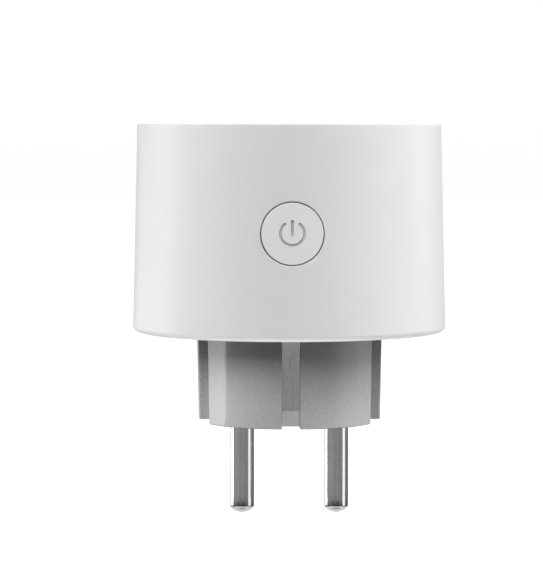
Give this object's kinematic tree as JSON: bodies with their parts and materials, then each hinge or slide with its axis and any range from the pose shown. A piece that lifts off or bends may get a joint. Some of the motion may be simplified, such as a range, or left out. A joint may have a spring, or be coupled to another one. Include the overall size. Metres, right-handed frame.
{
  "type": "smart plug",
  "caption": "Round pass-through mains adapter with radio control: a side-earth plug end below, a shuttered socket in the top and a power button on the front.",
  "frame": {"origin": "on the body axis in the plane of the plug end face, midway between the two pins", "axes": "+Z along the body axis, out of the socket; the pins point along -Z and stand apart along X; the button faces -Y"},
  "size_m": [0.0628, 0.0628, 0.0782],
  "materials": {
    "white_plastic": "satin white moulding",
    "button_white": "satin white moulding",
    "grey_plastic": "fine spark-eroded texture, light grey",
    "nickel_plate": "nickel plated brass",
    "earth_metal": "tin plated spring bronze",
    "ivory_plastic": "moulded",
    "shutter_plastic": "moulded, low friction",
    "spring_steel": "drawn wire",
    "dark_plastic": "moulded",
    "contact_brass": "rolled strip",
    "board_green": "solder mask",
    "header_gold": "gold flash on brass",
    "shield_steel": "tinned can",
    "chip_black": "moulded",
    "switch_metal": "stamped cover",
    "light_guide": "smoky translucent",
    "led_white": "clear epoxy",
    "iron": "zinc plated",
    "copper": "enamelled copper",
    "yellow_plastic": "moulded box",
    "sleeve_black": "shrink sleeve",
    "ferrite": "sintered",
    "varistor_blue": "dipped epoxy",
    "resistor_green": "lacquer",
    "screw_steel": "zinc plated"
  },
  "bodies": {
    "plug_unit": {"housing": "white_plastic", "socket_collar": "white_plastic", "socket_face": "white_plastic", "bottom_cover": "white_plastic", "plug_body": "grey_plastic", "line_pin": "nickel_plate", "neutral_pin": "nickel_plate", "front_earth_clip": "earth_metal", "rear_earth_clip": "earth_metal", "earth_bridge": "earth_metal", "earth_rivets": "earth_metal", "earth_pin_sleeve": "earth_metal", "shutter_frame": "ivory_plastic", "shutter_spring": "spring_steel", "contact_carrier": "dark_plastic", "line_contact": "contact_brass", "neutral_contact": "contact_brass", "main_board": "board_green", "control_board": "board_green", "board_header": "header_gold", "wifi_board": "board_green", "wifi_shield": "shield_steel", "wifi_chip": "chip_black", "tact_switch": "switch_metal", "status_leds": "led_white", "relay_base": "dark_plastic", "relay_yoke": "iron", "relay_coil": "copper", "relay_contact": "contact_brass", "relay_case": "dark_plastic", "safety_capacitor": "yellow_plastic", "bulk_capacitors": "sleeve_black", "inductor_core": "ferrite", "inductor_winding": "copper", "varistor": "varistor_blue", "fuse_resistor": "resistor_green", "power_chips": "chip_black", "current_shunt": "copper", "housing_screws": "screw_steel", "face_screws": "screw_steel"},
    "button": {"button_cap": "button_white", "icon_light_guide": "light_guide"},
    "switch_plunger": {"tact_plunger": "chip_black"},
    "shutter": {"shutter_slider": "shutter_plastic"},
    "relay_rocker": {"relay_armature": "iron"}
  },
  "joints": [
    {"name": "button_press", "type": "slide", "parent": "plug_unit", "child": "button", "axis": [0, 1, 0], "range_m": [0, 0.0006], "stiffness_N_per_m": 1500, "springref_m": -0.0006},
    {"name": "plunger_press", "type": "slide", "parent": "plug_unit", "child": "switch_plunger", "axis": [0, 1, 0], "range_m": [0, 0.0006]},
    {"name": "shutter_slide", "type": "slide", "parent": "plug_unit", "child": "shutter", "axis": [0, 1, 0], "range_m": [0, 0.0058], "stiffness_N_per_m": 120, "springref_m": -0.003, "deforming": ["shutter_spring"]},
    {"name": "relay_rock", "type": "hinge", "parent": "plug_unit", "child": "relay_rocker", "pos_m": [0.0207, 0.0007, 0.03485], "axis": [1, 0, 0], "range_deg": [0, 3.4], "stiffness_Nm_per_rad": 0.02, "springref_deg": -5.73}
  ],
  "couplings": [
    {"joint": "plunger_press", "follows": "button_press", "ratio": 1}
  ]
}
